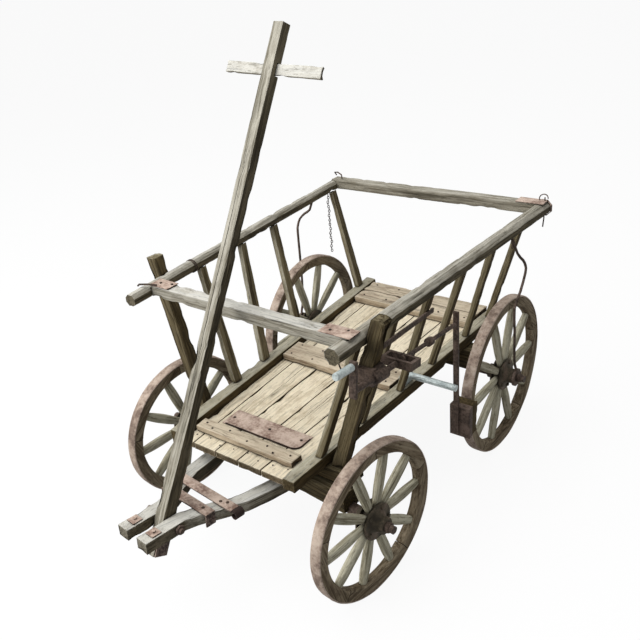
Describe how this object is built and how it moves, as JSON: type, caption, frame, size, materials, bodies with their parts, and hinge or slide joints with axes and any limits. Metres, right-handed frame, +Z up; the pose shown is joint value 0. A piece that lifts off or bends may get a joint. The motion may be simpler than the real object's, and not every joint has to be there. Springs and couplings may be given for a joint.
{
  "type": "weathered wooden ladder handcart",
  "caption": "Old four-wheeled wooden handcart: plank bed, open ladder sides, spoked wheels with iron tyres, steered front axle with a hinged drawbar, and a screw brake.",
  "frame": {"origin": "on the ground, under the middle of the whole cart's outline", "axes": "+Z up; -Y is the front, where the drawbar is; +X is the cart's left side, which has the brake; +Y runs to the rear and is the longest way"},
  "size_m": [0.918, 1.4595, 1.4041],
  "materials": {
    "silvered_wood": "bleached grey, dry and cracked",
    "floor_wood": "dry tan boards with dark cracks",
    "batten_wood": "pale sun-bleached boards",
    "dark_wood": "brown-grey and weathered",
    "felloe_wood": "brown, stained by rust",
    "spoke_wood": "grey-green and weathered",
    "tyre_iron": "pale worn rust",
    "hub_iron": "dark rust",
    "rusty_strap_iron": "pinkish red rust",
    "dark_iron": "dark rust",
    "galvanised_iron": "dull zinc"
  },
  "bodies": {
    "cart": {"floor_planks": "floor_wood", "front_batten": "batten_wood", "middle_batten": "batten_wood", "rear_battens": "batten_wood", "floor_plate": "rusty_strap_iron", "bottom_rail_left": "dark_wood", "bottom_rail_right": "dark_wood", "top_rail_left": "silvered_wood", "top_rail_right": "silvered_wood", "rungs_left": "dark_wood", "rungs_right": "dark_wood", "corner_post_left": "dark_wood", "corner_post_right": "dark_wood", "front_crossbar": "silvered_wood", "front_corner_plates": "rusty_strap_iron", "rear_crossbar": "silvered_wood", "rear_corner_strap": "rusty_strap_iron", "bolster": "dark_wood", "kingpin": "dark_iron", "reach": "dark_wood", "rear_axle_bed": "dark_wood", "rear_axle": "dark_iron", "rear_stay_left": "dark_iron", "rear_stay_right": "dark_iron", "brake_crank": "dark_iron", "brake_bracket": "dark_iron", "brake_yoke": "dark_iron", "brake_rod": "dark_iron", "brake_guide_bar": "dark_iron", "brake_lever": "dark_iron", "brake_pivot": "galvanised_iron", "brake_block": "dark_wood"},
    "front_axle": {"front_axle_bed": "dark_wood", "front_axle": "dark_iron", "turning_plate": "dark_iron", "fork_arm_left": "silvered_wood", "fork_arm_right": "silvered_wood", "fork_strap_front": "rusty_strap_iron", "fork_strap_rear": "rusty_strap_iron", "fork_tip_washers": "rusty_strap_iron", "drawbar_pin": "dark_iron"},
    "drawbar": {"drawbar_pole": "silvered_wood", "drawbar_handle": "silvered_wood", "drawbar_irons": "rusty_strap_iron"},
    "front_left_wheel": {"front_left_tyre": "tyre_iron", "front_left_rim": "felloe_wood", "front_left_spokes": "spoke_wood", "front_left_hub": "hub_iron"},
    "front_right_wheel": {"front_right_tyre": "tyre_iron", "front_right_rim": "felloe_wood", "front_right_spokes": "spoke_wood", "front_right_hub": "hub_iron"},
    "rear_left_wheel": {"rear_left_tyre": "tyre_iron", "rear_left_rim": "felloe_wood", "rear_left_spokes": "spoke_wood", "rear_left_hub": "hub_iron"},
    "rear_right_wheel": {"rear_right_tyre": "tyre_iron", "rear_right_rim": "felloe_wood", "rear_right_spokes": "spoke_wood", "rear_right_hub": "hub_iron"}
  },
  "joints": [
    {"name": "steering", "type": "hinge", "parent": "cart", "child": "front_axle", "pos_m": [0, -0.254, 0.225], "axis": [0, 0, 1], "range_deg": [-16, 28]},
    {"name": "drawbar", "type": "hinge", "parent": "front_axle", "child": "drawbar", "pos_m": [-0.03917, -0.62668, 0.29431], "axis": [0.9945, -0.1045, 0], "range_deg": [0, 100]},
    {"name": "front_left_spin", "type": "hinge", "parent": "front_axle", "child": "front_left_wheel", "pos_m": [0.36847, -0.29273, 0.225], "axis": [0.9945, -0.1045, 0], "continuous": true},
    {"name": "front_right_spin", "type": "hinge", "parent": "front_axle", "child": "front_right_wheel", "pos_m": [-0.36847, -0.21527, 0.225], "axis": [0.9945, -0.1045, 0], "continuous": true},
    {"name": "rear_left_spin", "type": "hinge", "parent": "cart", "child": "rear_left_wheel", "pos_m": [0.3805, 0.462, 0.26], "axis": [1, 0, 0], "continuous": true},
    {"name": "rear_right_spin", "type": "hinge", "parent": "cart", "child": "rear_right_wheel", "pos_m": [-0.3805, 0.462, 0.26], "axis": [1, 0, 0], "continuous": true}
  ]
}
